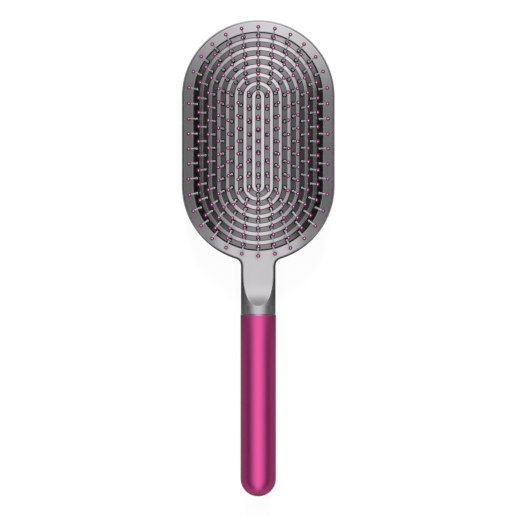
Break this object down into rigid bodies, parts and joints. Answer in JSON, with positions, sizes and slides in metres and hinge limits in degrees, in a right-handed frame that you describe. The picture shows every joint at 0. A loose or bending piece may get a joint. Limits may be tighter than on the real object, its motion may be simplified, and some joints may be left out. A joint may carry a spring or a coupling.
{
  "type": "paddle brush",
  "caption": "Paddle hairbrush with a stadium-shaped head, a ridged air cushion that gives under load, fanned ball-tipped pins and a round tube handle.",
  "frame": {"origin": "on the table under the middle of the brush, which lies on its back", "axes": "+Y from the handle towards the top of the paddle, +Z out of the pinned face, +X across the paddle"},
  "size_m": [0.0802, 0.25, 0.034],
  "materials": {
    "body": "satin metallic nickel-grey paint on a moulded body",
    "handle": "satin magenta anodised tube",
    "cushion": "soft satin grey, lighter on the ridges",
    "pins": "glossy grey pins with magenta ball tips",
    "frame": "fine moulded texture",
    "steel": "plain",
    "seal": "matt black"
  },
  "bodies": {
    "paddle": {"paddle_body": "body", "back_plate": "body", "cushion": "cushion", "clamp_frame": "frame", "clamp_screw_1": "steel", "clamp_screw_2": "steel", "clamp_screw_3": "steel", "clamp_screw_4": "steel", "clamp_screw_5": "steel", "clamp_screw_6": "steel", "clamp_screw_7": "steel", "clamp_screw_8": "steel", "handle_tube": "handle", "spigot_seal_front": "seal", "spigot_seal_rear": "seal", "snap_ring": "steel"},
    "centre_pins": {"pin_row_centre": "pins"},
    "ring_1_pins": {"pin_ring_1": "pins"},
    "ring_2_pins": {"pin_ring_2": "pins"},
    "ring_3_pins": {"pin_ring_3": "pins"},
    "ring_4_pins": {"pin_ring_4": "pins"},
    "ring_5_pins": {"pin_ring_5": "pins"},
    "ring_6_pins": {"pin_ring_6": "pins"},
    "ring_7_pins": {"pin_ring_7": "pins"}
  },
  "joints": [
    {"name": "cushion_press", "type": "slide", "parent": "paddle", "child": "centre_pins", "axis": [0, 0, 1], "range_m": [-0.0026, 0], "stiffness_N_per_m": 1800, "deforming": ["cushion"]},
    {"name": "ring_1_press", "type": "slide", "parent": "paddle", "child": "ring_1_pins", "axis": [0, 0, 1], "range_m": [-0.00256, 0]},
    {"name": "ring_2_press", "type": "slide", "parent": "paddle", "child": "ring_2_pins", "axis": [0, 0, 1], "range_m": [-0.00246, 0]},
    {"name": "ring_3_press", "type": "slide", "parent": "paddle", "child": "ring_3_pins", "axis": [0, 0, 1], "range_m": [-0.00228, 0]},
    {"name": "ring_4_press", "type": "slide", "parent": "paddle", "child": "ring_4_pins", "axis": [0, 0, 1], "range_m": [-0.00202, 0]},
    {"name": "ring_5_press", "type": "slide", "parent": "paddle", "child": "ring_5_pins", "axis": [0, 0, 1], "range_m": [-0.0017, 0]},
    {"name": "ring_6_press", "type": "slide", "parent": "paddle", "child": "ring_6_pins", "axis": [0, 0, 1], "range_m": [-0.00131, 0]},
    {"name": "ring_7_press", "type": "slide", "parent": "paddle", "child": "ring_7_pins", "axis": [0, 0, 1], "range_m": [-0.000841, 0]}
  ],
  "couplings": [
    {"joint": "ring_1_press", "follows": "cushion_press", "ratio": 0.9859},
    {"joint": "ring_2_press", "follows": "cushion_press", "ratio": 0.9443},
    {"joint": "ring_3_press", "follows": "cushion_press", "ratio": 0.8751},
    {"joint": "ring_4_press", "follows": "cushion_press", "ratio": 0.7785},
    {"joint": "ring_5_press", "follows": "cushion_press", "ratio": 0.6542},
    {"joint": "ring_6_press", "follows": "cushion_press", "ratio": 0.5025},
    {"joint": "ring_7_press", "follows": "cushion_press", "ratio": 0.3232}
  ]
}
